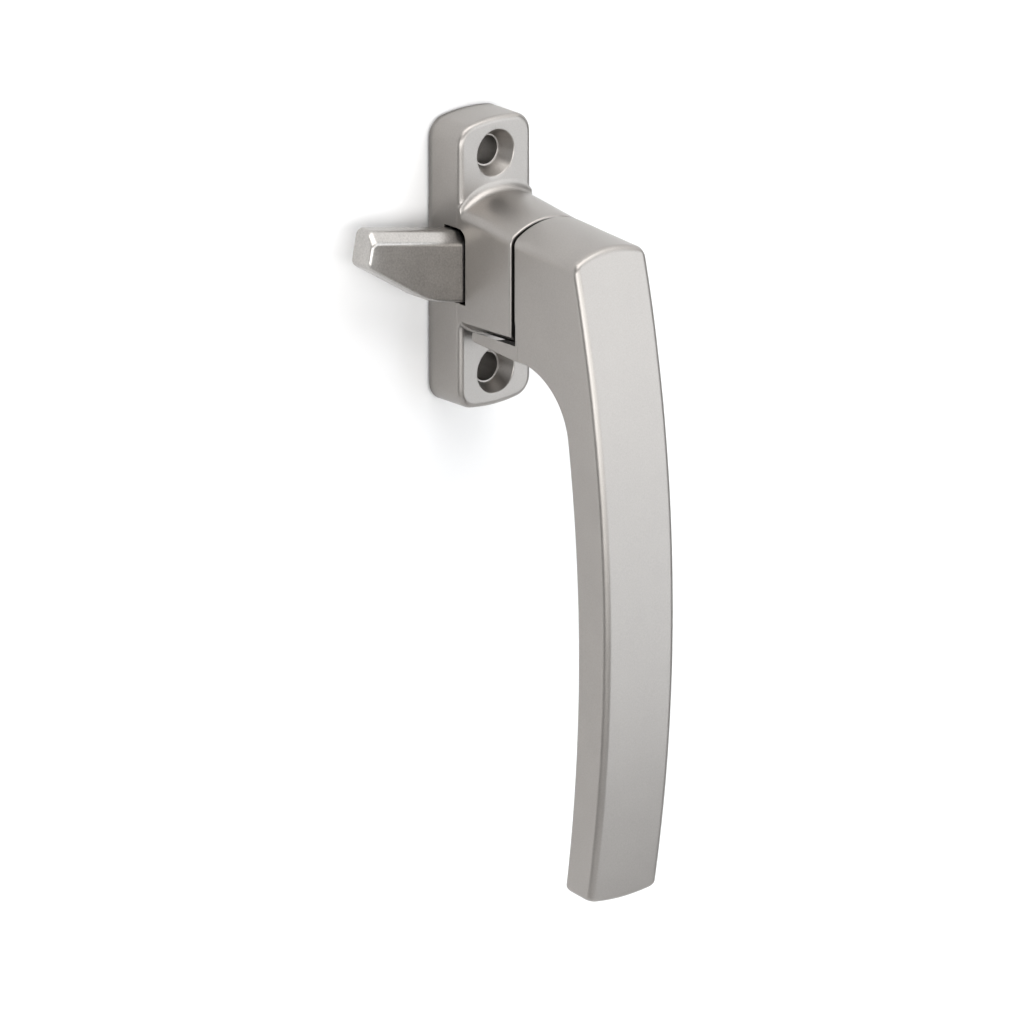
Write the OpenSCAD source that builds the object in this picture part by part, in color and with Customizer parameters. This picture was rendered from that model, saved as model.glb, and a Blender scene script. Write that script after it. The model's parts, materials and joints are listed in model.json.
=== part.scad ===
// Casement window handle: a cast base with two screw lugs and a boss, a lever on a spindle
// through the boss, and a tongue that a pinion on the spindle draws into the boss's side.
// Frame: the sash lies behind the plane Y = 0, the room is towards -Y and Z is up.
// A distance from the sash is called a depth and runs towards -Y. The lever turns about the
// Y axis, the tongue leaves to -X, and the model shows the handle closed.

/* [Fixing] */
// Distance between the two screw holes
fixing_pitch = 43; // [41:0.5:46]
// Diameter of each screw hole
screw_hole_d = 5.5; // [4.5:0.1:5.8]
// Diameter at the foot of each countersink
screw_seat_d = 6.3; // [6:0.1:7]
// Diameter of each countersink at the lug's face
countersink_d = 9.3; // [8.6:0.1:10]
// Depth of each countersink
countersink_t = 2.8; // [2:0.1:4]

/* [Base] */
// Width of the base, the boss and the lever's hub
base_w = 18.1; // [17.8:0.1:20]
// Height of the base
base_h = 57.3; // [55.5:0.2:64]
// Thickness of the two screw lugs
lug_t = 9.1; // [8.4:0.1:9.8]
// Radius of the arched ends of the base, seen from the room
base_end_r = 35; // [20:1:60]
// Radius of the corners of the base, seen from the room
base_corner_r = 4; // [3:0.1:6]
// Radius round the front edge of the lugs
lug_edge_r = 0.9; // [0.4:0.1:1.4]

/* [Boss] */
// Depth of the boss's front face
boss_depth = 23.7; // [23:0.1:26]
// Height of the boss's arched top where it meets the lug
boss_crown_h = 14.3; // [13.4:0.1:14.6]
// Height of the arched top at the joint between the boss and the lever
joint_crown_h = 12.2; // [11.6:0.1:12.8]
// Radius of the boss's arched top
arch_r = 15.5; // [13:0.5:20]
// Radius of the boss's round underside where it meets the lug
belly_r = 13.6; // [13.2:0.1:14]
// How much smaller the underside's radius is at the boss's front face
belly_draft = 0.3; // [0:0.05:0.5]
// Radius where the arched top runs into the flat sides
shoulder_r = 2.5; // [1.5:0.1:4]
// Size of the hollow fillet between the boss and the lug
root_fillet = 1.8; // [1:0.1:2.2]
// Radius round the front edge of the boss
boss_edge_r = 0.5; // [0.2:0.1:0.8]
// Thickness of the boss's side walls
side_wall_t = 1.3; // [1.1:0.05:1.5]
// Share that the front wall, which holds the bush, takes of the room before pinion and disc
front_wall_share = 0.75; // [0.7:0.01:0.78]

/* [Lever] */
// Gap that shows between the boss and the lever
lever_gap = 1.1; // [0.9:0.05:1.4]
// Distance from the lever's axis down to its free end
lever_reach = 118.3; // [105:0.5:135]
// Depth of the front of the grip where it bows out furthest
grip_depth = 51; // [49:0.1:54]
// Distance from the lever's axis down to where the grip bows out furthest
bow_drop = 63; // [58:1:70]
// Radius of the bow of the lever's front
front_bow_r = 295; // [270:5:400]
// Distance from the lever's axis down to where the grip's back bows out furthest
back_bow_drop = 68; // [62:1:74]
// Radius of the bow of the grip's back
back_bow_r = 295; // [270:5:400]
// Thickness of the grip where it bows out furthest
grip_t = 8.5; // [7.5:0.1:9.5]
// Width of the grip at its free end
grip_end_w = 17; // [15:0.1:18]
// Bulge of the grip's free end between its corners
end_bulge = 0.7; // [0:0.1:2]
// Radius of the curve under the neck
neck_r = 14.5; // [13:0.5:18]
// Height of the lever's front edge over its axis, at the middle
crown_h = 10.4; // [9.6:0.1:11.4]
// Radius of the arch of that edge
crown_r = 22; // [16:1:60]
// Radius along the long front edges of the lever
front_edge_r = 1.2; // [0.6:0.1:1.8]
// Radius along the long back edges of the grip
back_edge_r = 1; // [0.6:0.1:2]
// Clearance between the boss's round underside and the lever's skirt
skirt_gap = 0.8; // [0.6:0.05:1.1]
// Thickness of the skirt at its free edge
skirt_edge_t = 1.6; // [1.2:0.1:2]
// Thickness of the skirt where it joins the hub
skirt_root_t = 2.4; // [2:0.1:2.8]
// Clearance between the skirt's free edge and the lower lug
skirt_lug_gap = 3.3; // [2.4:0.1:5]

/* [Tongue] */
// Distance from the lever's axis to the tongue's tip, along the slide
tongue_reach = 33.3; // [30:0.1:40]
// Thickness of the tongue
tongue_t = 5.2; // [4.6:0.1:5.6]
// Depth of the tongue's front face
tongue_depth = 10.3; // [10:0.1:10.6]
// Lean of the slide: the tongue's tip is higher than its tail, in degrees
tongue_lean = 11.4; // [8:0.2:13]
// Height of the tongue's top edge over the slide's centre line
tongue_top = 5.8; // [5:0.1:6]
// Distance from the slide's centre line down to the tongue's lower edge
tongue_drop = 7.8; // [7.4:0.1:8.2]
// Height of the tongue at its tip
tip_h = 7.1; // [5:0.1:9]
// Angle of the tongue's sloping underside to the slide, in degrees
nose_angle = 20.5; // [18:0.5:26]
// Radius where the underside turns into that slope
nose_bend_r = 16; // [12:1:24]
// Size of the bevel along the tongue's top front edge
tongue_bevel = 2.1; // [1.4:0.1:2.4]
// Radius of the corners of the tongue's tip
tip_r = 1.4; // [0.8:0.1:2]
// Clearance round the tongue in its window
window_gap = 0.35; // [0.25:0.05:0.45]
// Height of the shoulders that keep the tongue in the base
tail_shoulder = 1.5; // [1:0.1:1.8]

/* [Drive] */
// Gear module of the pinion and the rack
gear_module = 0.7; // [0.68:0.01:0.71]
// Thickness of the pinion
pinion_t = 3.1; // [2.6:0.1:3.4]
// Gap between the tongue's front face and the pinion
pinion_gap = 0.4; // [0.2:0.05:0.6]
// Backlash of the teeth at the pitch circle
backlash = 0.16; // [0.1:0.02:0.24]
// Radius of the spindle's journal
journal_r = 3.3; // [3.25:0.05:3.4]
// Running clearance between the journal and its bush, on the radius
running_gap = 0.05; // [0.02:0.01:0.08]
// Wall of the spindle's bush
bush_wall = 0.85; // [0.7:0.05:1]
// Side of the spindle's square end in the hub
hub_square = 5; // [4.4:0.1:5.4]
// How far the square end goes into the hub
hub_square_l = 8.6; // [7.5:0.1:10]
// Side of the square that carries the stop disc
disc_square = 4.5; // [4.1:0.1:4.5]
// Side of the square that carries the pinion
pinion_square = 3.4; // [3:0.1:3.6]
// Thickness of the stop disc
disc_t = 1.5; // [1.2:0.1:1.7]
// Angle that the lever turns, in degrees
lever_turn = 90; // [80:5:90]
// Radius of the stop pin
stop_pin_r = 0.9; // [0.7:0.1:1]
// Radius of the detent's ball
ball_r = 1; // [0.8:0.05:1]
// Diameter of the grub screw in the hub
grub_d = 5; // [4:0.5:5]
// Length of the grub screw in the hub
grub_l = 6; // [4:0.5:8]
// Thickness of the back plate
back_plate_t = 1.2; // [0.8:0.1:1.5]
// Distance between the two screws of the back plate
back_screw_pitch = 27.2; // [26.4:0.1:27.6]

/* [Hidden] */

fine = 96;
medium = 48;
fit = 0.05;
slack = 0.15;
cut = 1;

half_w = base_w / 2;
pocket_half_w = half_w - side_wall_t;
drum_r = pocket_half_w - 0.1;

hub_depth = boss_depth + lever_gap;
pinion_depth = tongue_depth + pinion_gap;
sleeve_depth = pinion_depth + pinion_t;
front_wall_t = front_wall_share * (boss_depth - sleeve_depth - slack - disc_t);
wall_depth = boss_depth - front_wall_t;
disc_depth = wall_depth - slack;
skirt_inner_r = belly_r + skirt_gap;
skirt_root_r = skirt_inner_r + skirt_root_t;
neck_drop = sqrt(pow(skirt_root_r, 2) - pow(half_w, 2));

pinion_teeth = 12;
pitch_r = gear_module * pinion_teeth / 2;
rack_pitch = PI * gear_module;
stroke = pitch_r * lever_turn * PI / 180;
rack_top_depth = sleeve_depth - 0.1;

disc_r = drum_r - 0.3;
pin_at_r = disc_r - stop_pin_r - 0.2;
pin_angle = -45;
bush_r = journal_r + running_gap + bush_wall;
ball_web = 0.6;
ball_at_r = bush_r + ball_web + fit + ball_r;
washer_recess_t = 0.9;
washer_r = 6.4;
hub_socket_depth = hub_depth + washer_recess_t;
back_screw_r = 1.25;
back_head_r = 2.3;

// Profile helpers

function arc(centre, r, from, to, steps) =
    [for (i = [0:steps]) centre + r * [cos(from + (to - from) * i / steps),
                                       sin(from + (to - from) * i / steps)]];

function mix(a, b, t) = a + (b - a) * t;

// Draws a profile seen from the room and gives it thickness from one depth to another
module between_depths(from, to) {
    translate([0, -from, 0])
        rotate([90, 0, 0])
            linear_extrude(to - from)
                children();
}

// Draws a profile of depth and height and gives it a width, equal to both sides
module across(width) {
    rotate([90, 0, -90])
        linear_extrude(width, center = true)
            children();
}

// Turns what is drawn along X into the direction in which the tongue slides
module along_slide() {
    rotate([0, tongue_lean, 0]) children();
}

module rod(r, from, to, fn = medium) {
    translate([0, -from, 0])
        rotate([90, 0, 0])
            cylinder(h = to - from, r = r, $fn = fn);
}

module at_height(z) {
    translate([0, 0, z]) children();
}

// Outline of the boss and the hub

// Half a turn over the arched top, from the right side to the left side
function arch(top_r, apex, corner_r, half) =
    let (corner_h = apex - top_r + sqrt(pow(top_r - corner_r, 2) - pow(half - corner_r, 2)),
         corner_a = acos((half - corner_r) / (top_r - corner_r)))
    concat(
        arc([half - corner_r, corner_h], corner_r, 0, corner_a, 8),
        arc([0, apex - top_r], top_r, corner_a, 180 - corner_a, 24),
        arc([corner_r - half, corner_h], corner_r, 180 - corner_a, 180, 8));

module boss_outline(apex, under_r, grow) {
    half = half_w + grow;
    side_a = acos(half / under_r);
    polygon(concat(
        arch(arch_r + grow, apex, shoulder_r + grow, half),
        arc([0, 0], under_r, 180 + side_a, 360 - side_a, 24)));
}

// Base

// Edge profile of a flat disc whose front edge is rounded
function coin_profile(r) =
    concat([[0, 0], [r, 0]],
        arc([r - lug_edge_r, lug_t - lug_edge_r], lug_edge_r, 0, 90, 6),
        [[0, lug_t]]);

module coin(r, turn = 360) {
    rotate([90, 0, 0])
        rotate([0, 0, 90 - turn / 2])
            rotate_extrude(angle = turn, $fn = medium)
                polygon(coin_profile(r));
}

module lug_plate() {
    corner_x = half_w - base_corner_r;
    arc_z = base_h / 2 - base_end_r;
    corner_z = arc_z + sqrt(pow(base_end_r - base_corner_r, 2) - pow(corner_x, 2));
    end_turn = 2 * asin(corner_x / (base_end_r - base_corner_r));
    hull()
        for (flip = [0, 180])
            rotate([0, flip, 0]) {
                at_height(arc_z) coin(base_end_r, end_turn);
                for (side = [-1, 1])
                    translate([side * corner_x, 0, corner_z]) coin(base_corner_r);
            }
}

// The boss narrows from the lugs to its front face; grow is added all round
module boss_slice(depth, grow = 0) {
    t = (depth - lug_t) / (boss_depth - lug_t);
    between_depths(depth, depth + 0.01)
        boss_outline(mix(boss_crown_h, joint_crown_h, t) + grow,
            belly_r - belly_draft * t + grow, grow);
}

module boss() {
    hull() {
        boss_slice(lug_t - cut);
        boss_slice(boss_depth - boss_edge_r);
        boss_slice(boss_depth - 0.01, -boss_edge_r);
    }
}

// Hollow fillet where the boss grows out of the lugs, in two flat steps
module boss_foot() {
    middle = 0.3 * root_fillet;
    intersection() {
        union() {
            hull() {
                boss_slice(lug_t - 0.2, root_fillet);
                boss_slice(lug_t + middle, middle);
            }
            hull() {
                boss_slice(lug_t + middle - 0.01, middle);
                boss_slice(lug_t + root_fillet);
            }
        }
        translate([-half_w, -boss_depth, -base_h / 2]) cube([base_w, boss_depth, base_h]);
    }
}

module fixing_hole() {
    rod(screw_hole_d / 2, -cut, lug_t + cut, fine);
    translate([0, countersink_t - lug_t, 0])
        rotate([90, 0, 0])
            cylinder(h = countersink_t, d1 = screw_seat_d, d2 = countersink_d, $fn = fine);
}

// Height range of the pockets, measured from the slide's centre line
tail_top = tongue_top + tail_shoulder;
tail_drop = tongue_drop + tail_shoulder;

// A pocket along the slide, open as wide as the side walls allow
module slide_pocket(from, to, bottom, top) {
    intersection() {
        along_slide()
            between_depths(from, to)
                translate([-base_w, bottom]) square([2 * base_w, top - bottom]);
        translate([-pocket_half_w, -to, -base_h / 2])
            cube([2 * pocket_half_w, to - from, base_h]);
    }
}

// Section of the tongue, depth by height over the slide's centre line
module tongue_section() {
    back = tongue_depth - tongue_t;
    polygon([[back, -tongue_drop], [tongue_depth, -tongue_drop],
        [tongue_depth, tongue_top - tongue_bevel], [tongue_depth - tongue_bevel, tongue_top],
        [back, tongue_top]]);
}

// Section of the window: round the tongue's, with a rounded corner over its bevel
module window_section() {
    back = tongue_depth - tongue_t - window_gap;
    front = tongue_depth + window_gap;
    top = tongue_top + window_gap;
    bottom = -tongue_drop - window_gap;
    polygon(concat(
        [[back, bottom], [front, bottom]],
        arc([front - tongue_bevel, top - tongue_bevel], tongue_bevel, 0, 90, 8),
        [[back, top]]));
}

module tongue_window() {
    intersection() {
        along_slide() across(4 * base_w) window_section();
        translate([-half_w - cut, -boss_depth, -base_h / 2])
            cube([side_wall_t + 2 * cut, boss_depth, base_h]);
    }
}

module pin_place() {
    translate([pin_at_r * cos(pin_angle), 0, pin_at_r * sin(pin_angle)]) children();
}

pin_front_depth = wall_depth + 0.65 * front_wall_t;
ball_bore_depth = wall_depth + 0.74 * front_wall_t;
plate_half_w = pocket_half_w + 0.5;
plate_half_h = back_screw_pitch / 2 + back_head_r + 0.3;

module plate_outline(grow) {
    corner = 1.5;
    for (x = [-1, 1], z = [-1, 1])
        translate([x * (plate_half_w - corner), z * (plate_half_h - corner)])
            circle(r = corner + grow, $fn = medium);
    square([2 * (plate_half_w + grow), 2 * (plate_half_h - corner)], center = true);
    square([2 * (plate_half_w - corner), 2 * (plate_half_h + grow)], center = true);
}

module base_body() {
    color([0.64, 0.62, 0.60]) difference() {
        union() {
            lug_plate();
            boss();
            boss_foot();
        }
        for (side = [-1, 1]) {
            at_height(side * fixing_pitch / 2) fixing_hole();
            at_height(side * back_screw_pitch / 2)
                rod(back_screw_r, 0, lug_t - 2);
        }
        between_depths(-cut, back_plate_t) plate_outline(fit);
        slide_pocket(0, tongue_depth + window_gap, -tail_drop - window_gap,
            tail_top + window_gap);
        slide_pocket(tongue_depth, rack_top_depth + 0.3, -tongue_drop - window_gap, 0);
        rod(drum_r, tongue_depth, wall_depth, fine);
        tongue_window();
        rod(bush_r, wall_depth - cut, boss_depth + cut, fine);
        at_height(ball_at_r) rod(ball_r + fit, wall_depth - cut, ball_bore_depth);
        pin_place() rod(stop_pin_r, wall_depth - cut, pin_front_depth);
    }
}

module back_plate() {
    color([0.62, 0.63, 0.65]) difference() {
        between_depths(0, back_plate_t) plate_outline(0);
        for (side = [-1, 1])
            at_height(side * back_screw_pitch / 2) {
                rod(back_screw_r + fit, -cut, back_plate_t + cut);
                translate([0, cut, 0])
                    rotate([90, 0, 0])
                        cylinder(h = back_plate_t + cut - 0.1, r1 = back_head_r + cut,
                            r2 = back_screw_r + fit, $fn = medium);
            }
    }
}

// Countersunk screw with a slot, its head towards the sash
module back_plate_screws() {
    head_t = back_plate_t - 0.3;
    color([0.75, 0.76, 0.78])
        for (side = [-1, 1])
            at_height(side * back_screw_pitch / 2)
                difference() {
                    translate([0, -0.05, 0]) rotate([90, 0, 0]) rotate_extrude($fn = medium)
                        polygon([[0, 0], [back_head_r - 0.15, 0], [back_screw_r - fit, head_t],
                            [back_screw_r - fit, lug_t - 2.4], [0, lug_t - 2.2]]);
                    translate([-back_head_r, -0.5, -0.25]) cube([2 * back_head_r, 1, 0.5]);
                }
}

// Moulded block between the back plate and the tongue's tail, on which the tail slides
module tongue_glide() {
    color([0.88, 0.87, 0.83])
        intersection() {
            along_slide()
                between_depths(back_plate_t, tongue_depth - tongue_t - slack)
                    translate([-base_w, -tail_drop]) square([2 * base_w, tail_drop + tail_top]);
            translate([fit - pocket_half_w, -boss_depth, -base_h / 2])
                cube([2 * (pocket_half_w - fit), boss_depth, base_h]);
        }
}

// Flanged bush, its flange in the joint between the boss and the lever
bush_flange_t = 0.4;
module spindle_bush() {
    color([0.86, 0.85, 0.80]) difference() {
        union() {
            rod(bush_r, wall_depth, boss_depth, fine);
            rod(bush_r + 1.6, boss_depth, boss_depth + bush_flange_t, fine);
        }
        rod(journal_r + running_gap, wall_depth - cut, hub_depth, fine);
    }
}

module stop_pin() {
    color([0.75, 0.76, 0.78])
        pin_place() rod(stop_pin_r, disc_depth - disc_t, pin_front_depth);
}

module detent_ball() {
    color([0.80, 0.81, 0.83])
        translate([0, -(disc_depth + ball_r + 0.05), ball_at_r]) sphere(r = ball_r, $fn = medium);
}

// Compression spring between the ball and the end of its bore
spring_wire = 0.26;
spring_pitch = 1.6 * spring_wire;
module detent_spring() {
    start = disc_depth + 2 * ball_r + 0.05;
    rise = ball_bore_depth - start - 2 * spring_wire;
    spring_turns = floor(rise / spring_pitch);
    coil_r = ball_r - spring_wire / 2 - 0.05;
    steps = 12 * spring_turns;
    sides = 6;
    rings = [for (i = [0:steps], k = [0:sides - 1])
        let (a = 360 * spring_turns * i / steps,
             b = 360 * k / sides,
             r = coil_r + spring_wire / 2 * cos(b))
        [r * cos(a), -(start + spring_wire + rise * i / steps + spring_wire / 2 * sin(b)),
         ball_at_r + r * sin(a)]];
    color([0.70, 0.71, 0.73])
        polyhedron(rings, concat(
            [[for (k = [0:sides - 1]) k]],
            [for (i = [0:steps - 1], k = [0:sides - 1])
                let (next = (k + 1) % sides)
                [i * sides + k, (i + 1) * sides + k, (i + 1) * sides + next, i * sides + next]],
            [[for (k = [0:sides - 1]) steps * sides + sides - 1 - k]]));
}

// Lever

// Depth of the lever's front at a given height
function front_at(z) =
    grip_depth - front_bow_r + sqrt(pow(front_bow_r, 2) - pow(z + bow_drop, 2));

back_centre = [grip_depth - grip_t - back_bow_r, -back_bow_drop];
neck_centre_z = -neck_drop - neck_r;
neck_centre = [back_centre[0] + sqrt(pow(back_bow_r - neck_r, 2)
    - pow(neck_centre_z + back_bow_drop, 2)), neck_centre_z];
neck_end_a = atan2(neck_centre[1] - back_centre[1], neck_centre[0] - back_centre[0]);

function back_at(z) =
    back_centre[0] + sqrt(pow(back_bow_r, 2) - pow(z + back_bow_drop, 2));

function half_w_at(z) =
    half_w - (half_w - grip_end_w / 2) * min(1, max(0, -z / lever_reach));

// Height of the arched top at a distance from the middle
function top_at(x, top_r, apex) =
    let (bend_x = half_w - shoulder_r,
         bend_z = apex - top_r + sqrt(pow(top_r - shoulder_r, 2) - pow(bend_x, 2)),
         on_arch = abs(x) < bend_x * top_r / (top_r - shoulder_r))
    on_arch ? apex - top_r + sqrt(pow(top_r, 2) - x * x)
        : bend_z + sqrt(max(0, pow(shoulder_r, 2) - pow(abs(x) - bend_x, 2)));

hub_low_z = -6;
bend_steps = 4;
spread = [0, 0.2, 0.4, 0.6, 0.75, 0.88, 0.95];

// Places across a face whose edges are rounded: [distance from the middle, set back]
function across_face(half, r) =
    let (side = concat(
            [for (s = spread) [s * (half - r), 0]],
            [for (k = [0:bend_steps])
                [half - r + r * sin(90 * k / bend_steps), r * (1 - cos(90 * k / bend_steps))]]),
         n = len(side))
    concat([for (i = [n - 1:-1:1]) [-side[i][0], side[i][1]]], side);

// One ring of the lever's skin: the front from left to right, then the back
function ring(front, back) = concat(front, [for (i = [len(back) - 1:-1:0]) back[i]]);

// Ring of the hub: t runs from the arched top down to the neck
function hub_ring(t, set_back) =
    ring(
        [for (p = across_face(half_w, front_edge_r))
            let (z = mix(top_at(p[0], crown_r, crown_h), hub_low_z, t))
            [p[0], -(front_at(z) - p[1] - set_back), z]],
        [for (p = across_face(half_w, boss_edge_r))
            let (z = mix(top_at(p[0], arch_r, joint_crown_h), hub_low_z, t))
            [p[0], -(hub_depth + p[1]), z]]);

// Ring of the grip between a point of its front and a point of its back, each [depth, height]
function grip_ring(front, back, shrink, bulge) =
    let (along = (front - back) / norm(front - back),
         half = half_w_at(front[1]) - shrink)
    ring(
        [for (p = across_face(half, front_edge_r))
            let (q = front - along * (p[1] + shrink))
            [p[0], -q[0], q[1] - bulge * (1 - pow(p[0] / half, 2))]],
        [for (p = across_face(half, back_edge_r))
            let (q = back + along * (p[1] + shrink))
            [p[0], -q[0], q[1] - bulge * (1 - pow(p[0] / half, 2))]]);

hub_h = crown_h - hub_low_z;
neck_steps = 10;
grip_steps = 14;
neck_end = neck_centre + neck_r * [cos(neck_end_a), sin(neck_end_a)];
end_z = end_bulge - lever_reach;
end_r = front_edge_r;

hub_rings = concat(
    [for (b = [0:30:90]) hub_ring(end_r * (1 - cos(b)) / hub_h, end_r * (1 - sin(b)))],
    [for (t = [0.35, 0.7, 1]) hub_ring(t, 0)]);

neck_rings =
    [for (i = [0:neck_steps])
        let (t = i / neck_steps,
             a = mix(90, neck_end_a, t),
             z = mix(-neck_drop + 3, neck_end[1], t))
        grip_ring([front_at(z), z], neck_centre + neck_r * [cos(a), sin(a)], 0, 0)];

function grip_z(t) = mix(neck_end[1], end_z + end_r, t);

grip_rings =
    [for (i = [1:grip_steps])
        let (z = grip_z(i / grip_steps))
        grip_ring([front_at(z), z], [back_at(z + 1), z + 1], 0, end_bulge * pow(i / grip_steps, 2))];

end_rings =
    [for (b = [30:30:90])
        let (z = end_z + end_r * (1 - sin(b)))
        grip_ring([front_at(z), z], [back_at(z + 1), z + 1], end_r * (1 - cos(b)), end_bulge)];

// Skin over a list of rings, each closed at its ends by strips from its front to its back
module skin(rings) {
    m = len(rings[0]);
    last = (len(rings) - 1) * m;
    polyhedron([for (r = rings, p = r) p], concat(
        [for (k = [0:m / 2 - 2]) [k, m - 1 - k, m - 2 - k, k + 1]],
        [for (i = [0:len(rings) - 2], k = [0:m - 1])
            let (next = (k + 1) % m)
            [i * m + k, i * m + next, (i + 1) * m + next, (i + 1) * m + k]],
        [for (k = [0:m / 2 - 2])
            [last + k, last + k + 1, last + m - 2 - k, last + m - 1 - k]]));
}

// Skirt that turns round the boss's underside, and the round underside of the hub
module skirt() {
    edge_depth = lug_t + skirt_lug_gap;
    root_depth = neck_centre[0] + 0.65 * neck_r;
    edge_r = skirt_inner_r + skirt_edge_t;
    nose_r = 0.45 * skirt_edge_t;
    half = half_w - 0.05;
    intersection() {
        rotate([90, 0, 0])
            rotate([0, 0, 180])
                rotate_extrude(angle = 180, $fn = fine)
                    polygon(concat(
                        [[0, hub_depth], [skirt_inner_r, hub_depth]],
                        arc([skirt_inner_r + nose_r, edge_depth + nose_r], nose_r, 180, 270, 4),
                        arc([edge_r - nose_r, edge_depth + nose_r], nose_r, 270, 360, 4),
                        [[skirt_root_r, hub_depth], [skirt_root_r, root_depth],
                         [0, root_depth]]));
        translate([-half, -root_depth - cut, -skirt_root_r - cut])
            cube([2 * half, root_depth, skirt_root_r - 4]);
    }
}

grub_depth = hub_socket_depth + 0.5 * hub_square_l;

module lever() {
    color([0.70, 0.68, 0.66]) difference() {
        union() {
            skin(concat(hub_rings, neck_rings, grip_rings, end_rings));
            skirt();
        }
        rod(washer_r + 0.4, hub_depth - cut, hub_socket_depth, fine);
        between_depths(hub_socket_depth - cut, hub_socket_depth + hub_square_l + 0.4)
            square(hub_square + 2 * fit, center = true);
        translate([0, -grub_depth, -skirt_root_r - cut])
            cylinder(h = skirt_root_r + cut, d = grub_d + 2 * fit, $fn = medium);
    }
}

// Parts on the lever's spindle

module spindle() {
    screw_bore_r = 0.9;
    disc_square_depth = sleeve_depth + fit;
    color([0.72, 0.73, 0.75]) difference() {
        union() {
            between_depths(pinion_depth + 1.5, disc_depth) square(pinion_square, center = true);
            between_depths(disc_square_depth, disc_depth) square(disc_square, center = true);
            rod(journal_r, disc_depth, hub_socket_depth, fine);
            between_depths(hub_socket_depth, hub_socket_depth + hub_square_l)
                square(hub_square, center = true);
        }
        rod(screw_bore_r, pinion_depth, disc_depth, medium);
    }
}

module lever_grub_screw() {
    socket_d = 2.9;
    color([0.45, 0.45, 0.47])
        translate([0, -grub_depth, -hub_square / 2 - fit])
            rotate([180, 0, 0])
                difference() {
                    cylinder(h = grub_l, d = grub_d, $fn = medium);
                    translate([0, 0, grub_l - 2.5]) cylinder(h = 3, d = socket_d, $fn = 6);
                }
}

module hub_washer() {
    from = boss_depth + bush_flange_t + 0.1;
    color([0.88, 0.87, 0.83]) difference() {
        rod(washer_r, from, hub_depth, fine);
        rod(journal_r + running_gap, from - cut, hub_depth + cut, fine);
    }
}

// Ring of spring steel with three waves, in the hub's recess
module wave_washer() {
    strip_t = 0.25;
    waves = 3;
    steps = 48;
    inner_r = journal_r + 0.7;
    middle = hub_depth + washer_recess_t / 2;
    swing = washer_recess_t / 2 - strip_t / 2 - 0.02;
    points = [for (i = [0:steps - 1])
        let (a = 360 * i / steps,
             d = middle + swing * cos(waves * a))
        each [for (p = [[inner_r, -1], [washer_r, -1], [washer_r, 1], [inner_r, 1]])
            [p[0] * cos(a), -(d + p[1] * strip_t / 2), p[0] * sin(a)]]];
    color([0.66, 0.67, 0.69])
        polyhedron(points, [for (i = [0:steps - 1], k = [0:3])
            let (j = (i + 1) % steps,
                 next = (k + 1) % 4)
            [4 * i + k, 4 * j + k, 4 * j + next, 4 * i + next]]);
}

// Disc with a notch round the stop pin: the notch's ends stop the lever at both limits
module stop_disc() {
    notch_r = pin_at_r - stop_pin_r - 0.25;
    clear_a = asin((stop_pin_r + 0.08) / pin_at_r);
    from = pin_angle - lever_turn - clear_a;
    to = pin_angle + clear_a;
    dimple_r = 0.7 * ball_r;
    color([0.68, 0.69, 0.71]) difference() {
        rod(disc_r, disc_depth - disc_t, disc_depth, fine);
        between_depths(disc_depth - disc_t - cut, disc_depth + cut) {
            square(disc_square + 2 * fit, center = true);
            difference() {
                polygon(concat([[0, 0]], arc([0, 0], 2 * disc_r, from, to, 6)));
                circle(r = notch_r, $fn = fine);
            }
        }
        for (a = [90, 90 - lever_turn])
            translate([ball_at_r * cos(a), -disc_depth, ball_at_r * sin(a)])
                rotate([90, 0, 0])
                    cylinder(h = 0.8, r1 = dimple_r - 0.4, r2 = dimple_r + 0.4, center = true,
                        $fn = medium);
    }
}

module spacer_sleeve() {
    color([0.72, 0.73, 0.75]) difference() {
        rod(journal_r + 0.9, sleeve_depth, disc_depth - disc_t, fine);
        between_depths(sleeve_depth - cut, disc_depth) square(disc_square + 2 * fit, center = true);
    }
}

// Involute teeth: half the angle that a tooth takes up at a radius, in degrees
pressure_a = 20;
base_circle_r = pitch_r * cos(pressure_a);
function involute(a) = tan(a) * 180 / PI - a;
function tooth_half_a(r) =
    (PI * gear_module / 2 - backlash / 2) / pitch_r / 2 * 180 / PI
        + involute(pressure_a) - involute(r > base_circle_r ? acos(base_circle_r / r) : 0);

addendum = gear_module;
rack_addendum = 0.6 * gear_module;
tooth_root_gap = 0.2 * gear_module;

module gear_outline() {
    root_r = pitch_r - rack_addendum - tooth_root_gap;
    tip_r = pitch_r + addendum;
    flank = [root_r, base_circle_r, mix(base_circle_r, tip_r, 0.35),
        mix(base_circle_r, tip_r, 0.7), tip_r];
    polygon([for (i = [0:pinion_teeth - 1])
        let (a = -90 - tongue_lean + 360 * i / pinion_teeth)
        each concat(
            [for (r = flank) r * [cos(a - tooth_half_a(r)), sin(a - tooth_half_a(r))]],
            [for (k = [len(flank) - 1:-1:0])
                let (r = flank[k])
                r * [cos(a + tooth_half_a(r)), sin(a + tooth_half_a(r))]])]);
}

screw_head_r = 2.5;
screw_head_t = 1.2;
module pinion() {
    color([0.60, 0.58, 0.54]) difference() {
        between_depths(pinion_depth, sleeve_depth) gear_outline();
        between_depths(pinion_depth - cut, sleeve_depth + cut)
            square(pinion_square + 2 * fit, center = true);
        rod(screw_head_r + fit, pinion_depth - cut, pinion_depth + screw_head_t, fine);
    }
}

module pinion_screw() {
    from = pinion_depth + 0.1;
    color([0.75, 0.76, 0.78]) difference() {
        union() {
            rod(screw_head_r - 0.05, from, pinion_depth + screw_head_t, medium);
            rod(0.85, from, mix(pinion_depth, disc_depth, 0.75), medium);
        }
        for (a = [0, 90])
            rotate([0, a, 0])
                translate([-1.3, -from - 0.5, -0.25]) cube([2.6, 1, 0.5]);
    }
}

// Tongue

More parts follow.
